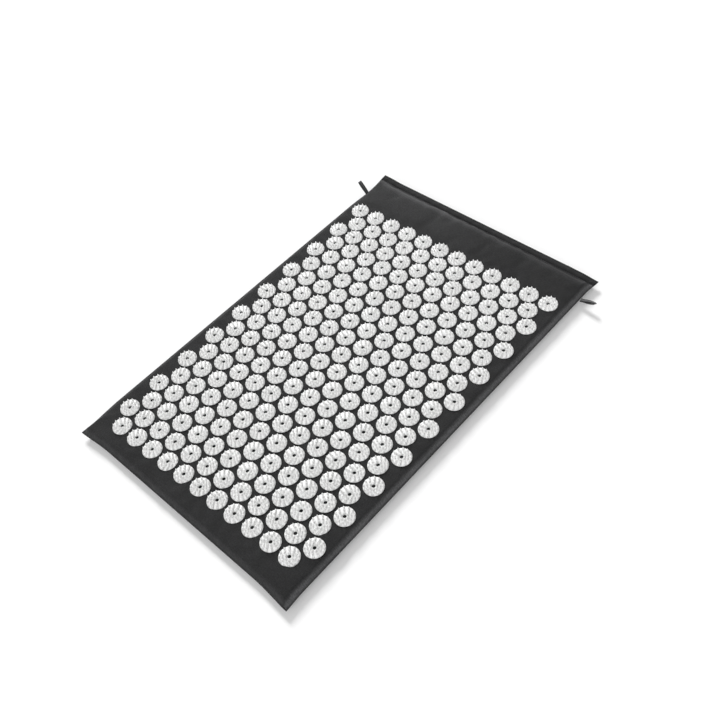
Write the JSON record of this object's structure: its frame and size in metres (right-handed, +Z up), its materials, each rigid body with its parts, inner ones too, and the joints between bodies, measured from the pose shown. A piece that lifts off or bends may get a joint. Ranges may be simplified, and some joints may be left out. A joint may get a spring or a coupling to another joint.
{
  "type": "acupressure mat",
  "caption": "Flat acupressure mat: zipped fabric cover over a foam slab, staggered rows of round plastic spike discs on top, a ribbon hanging loop in each side seam.",
  "frame": {"origin": "on the floor, under the middle of the mat's length and width", "axes": "+X across the mat to the right as one lies on it, +Y along it to the head end with the zip, +Z up"},
  "size_m": [0.4644, 0.6604, 0.0285],
  "materials": {
    "cover_fabric": "matte",
    "foam": "matte",
    "disc_plastic": "satin",
    "zip_tape": "matte",
    "zip_nylon": "satin",
    "zip_metal": "satin",
    "loop_ribbon": "matte"
  },
  "bodies": {
    "cover": {"top_panel": "cover_fabric", "bottom_panel": "cover_fabric", "foam_core": "foam", "spike_disc_01": "disc_plastic", "spike_disc_02": "disc_plastic", "spike_disc_03": "disc_plastic", "spike_disc_04": "disc_plastic", "spike_disc_05": "disc_plastic", "spike_disc_06": "disc_plastic", "spike_disc_07": "disc_plastic", "spike_disc_08": "disc_plastic", "spike_disc_09": "disc_plastic", "spike_disc_10": "disc_plastic", "spike_disc_11": "disc_plastic", "spike_disc_12": "disc_plastic", "zip_tape_upper": "zip_tape", "zip_tape_lower": "zip_tape", "zip_coil_upper": "zip_nylon", "zip_coil_lower": "zip_nylon", "zip_top_stop_upper": "zip_metal", "zip_top_stop_lower": "zip_metal", "zip_bottom_stop": "zip_metal"},
    "slider": {"zip_slider": "zip_metal"},
    "pull": {"zip_pull": "zip_metal"},
    "loop_left": {"hanging_loop_left": "loop_ribbon"},
    "loop_right": {"hanging_loop_right": "loop_ribbon"}
  },
  "joints": [
    {"name": "zip_slide", "type": "slide", "parent": "cover", "child": "slider", "axis": [-1, 0, 0], "range_m": [0, 0.3453]},
    {"name": "pull_hinge", "type": "hinge", "parent": "slider", "child": "pull", "pos_m": [0.1729, 0.33011, 0.0098], "axis": [0, 0, -1], "range_deg": [0, 175]},
    {"name": "loop_right_hinge", "type": "hinge", "parent": "cover", "child": "loop_right", "pos_m": [0.21011, 0.28536, 0.0098], "axis": [0.0872, -0.9962, 0], "range_deg": [-27, 68]},
    {"name": "loop_left_hinge", "type": "hinge", "parent": "cover", "child": "loop_left", "pos_m": [-0.21011, 0.28186, 0.0098], "axis": [0.0872, 0.9962, 0], "range_deg": [-60, 35]}
  ]
}
